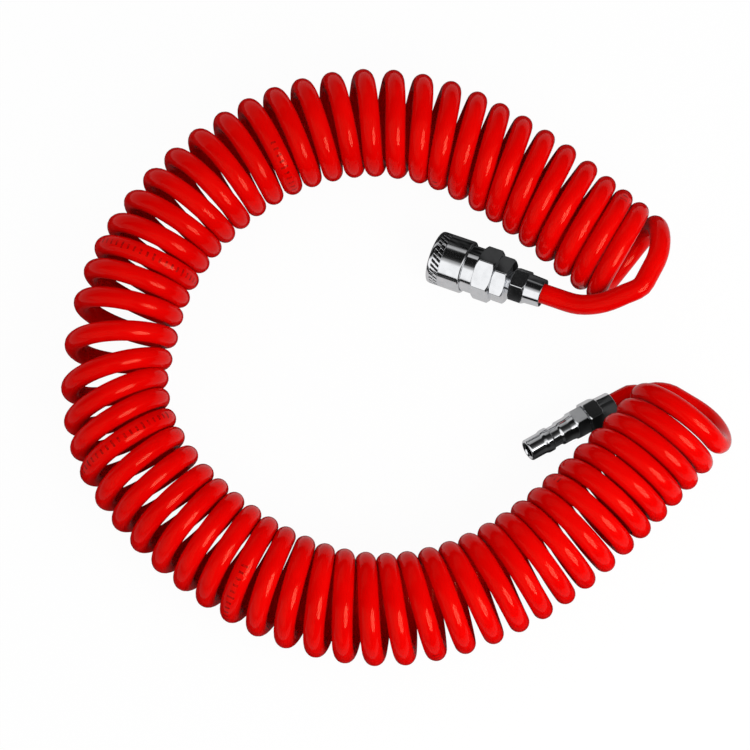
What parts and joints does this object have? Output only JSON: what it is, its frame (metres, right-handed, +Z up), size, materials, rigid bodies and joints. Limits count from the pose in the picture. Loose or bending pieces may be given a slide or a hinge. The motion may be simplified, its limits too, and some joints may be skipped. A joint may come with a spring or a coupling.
{
  "type": "coiled air hose",
  "caption": "Polyurethane recoil air hose laid in a C, with a sleeve-locked quick-coupler socket on one end and a quick-coupler plug on the other.",
  "frame": {"origin": "on the ground, under the middle of the box that the lying hose fills", "axes": "+Z up from the ground; +X along the longest side of the C, towards its opening; +Y from the plug end towards the socket end"},
  "size_m": [0.3266, 0.2964, 0.053],
  "materials": {
    "hose": "glossy translucent polyurethane",
    "chrome": "polished nickel-chrome plate",
    "spring_steel": "drawn wire and hardened balls",
    "brass": "turned",
    "rubber": "matt nitrile"
  },
  "bodies": {
    "root": {"hose_coil": "hose", "hose_tail_socket": "hose", "hose_tail_plug": "hose", "hose_end_socket": "hose", "hose_end_plug": "hose", "socket_hose_nut": "chrome", "hose_adapter": "chrome", "adapter_oring": "rubber", "socket_body": "chrome", "sleeve_spring": "spring_steel", "main_packing": "rubber", "valve_spring": "spring_steel", "plug_body": "chrome", "plug_hose_nut": "chrome"},
    "snap_ring": {"sleeve_snap_ring": "spring_steel"},
    "sleeve": {"locking_sleeve": "chrome"},
    "valve": {"valve_poppet": "brass"},
    "ball_1": {"locking_ball_1": "spring_steel"},
    "ball_2": {"locking_ball_2": "spring_steel"},
    "ball_3": {"locking_ball_3": "spring_steel"},
    "ball_4": {"locking_ball_4": "spring_steel"},
    "ball_5": {"locking_ball_5": "spring_steel"},
    "ball_6": {"locking_ball_6": "spring_steel"}
  },
  "joints": [
    {"name": "sleeve_spin", "type": "hinge", "parent": "root", "child": "snap_ring", "pos_m": [0.03233, 0.05053, 0.01623], "axis": [-0.9041, 0.3745, -0.206], "continuous": true},
    {"name": "sleeve_slide", "type": "slide", "parent": "snap_ring", "child": "sleeve", "axis": [0.9041, -0.3745, 0.206], "range_m": [0, 0.0035], "stiffness_N_per_m": 2500, "springref_m": -0.004, "deforming": ["sleeve_spring"]},
    {"name": "valve_slide", "type": "slide", "parent": "root", "child": "valve", "axis": [0.9041, -0.3745, 0.206], "range_m": [0, 0.005], "stiffness_N_per_m": 800, "springref_m": -0.003, "deforming": ["valve_spring"]},
    {"name": "ball_1_slide", "type": "slide", "parent": "root", "child": "ball_1", "axis": [0.1903, -0.0788, -0.9786], "range_m": [0, 0.000801]},
    {"name": "ball_2_slide", "type": "slide", "parent": "root", "child": "ball_2", "axis": [-0.2363, -0.8395, -0.4893], "range_m": [0, 0.000801]},
    {"name": "ball_3_slide", "type": "slide", "parent": "root", "child": "ball_3", "axis": [-0.4266, -0.7607, 0.4893], "range_m": [0, 0.000801]},
    {"name": "ball_4_slide", "type": "slide", "parent": "root", "child": "ball_4", "axis": [-0.1903, 0.0788, 0.9786], "range_m": [0, 0.000801]},
    {"name": "ball_5_slide", "type": "slide", "parent": "root", "child": "ball_5", "axis": [0.2363, 0.8395, 0.4893], "range_m": [0, 0.000801]},
    {"name": "ball_6_slide", "type": "slide", "parent": "root", "child": "ball_6", "axis": [0.4266, 0.7607, -0.4893], "range_m": [0, 0.000801]}
  ],
  "couplings": [
    {"joint": "ball_1_slide", "follows": "sleeve_slide", "ratio": 0.22857},
    {"joint": "ball_2_slide", "follows": "sleeve_slide", "ratio": 0.22857},
    {"joint": "ball_3_slide", "follows": "sleeve_slide", "ratio": 0.22857},
    {"joint": "ball_4_slide", "follows": "sleeve_slide", "ratio": 0.22857},
    {"joint": "ball_5_slide", "follows": "sleeve_slide", "ratio": 0.22857},
    {"joint": "ball_6_slide", "follows": "sleeve_slide", "ratio": 0.22857}
  ]
}
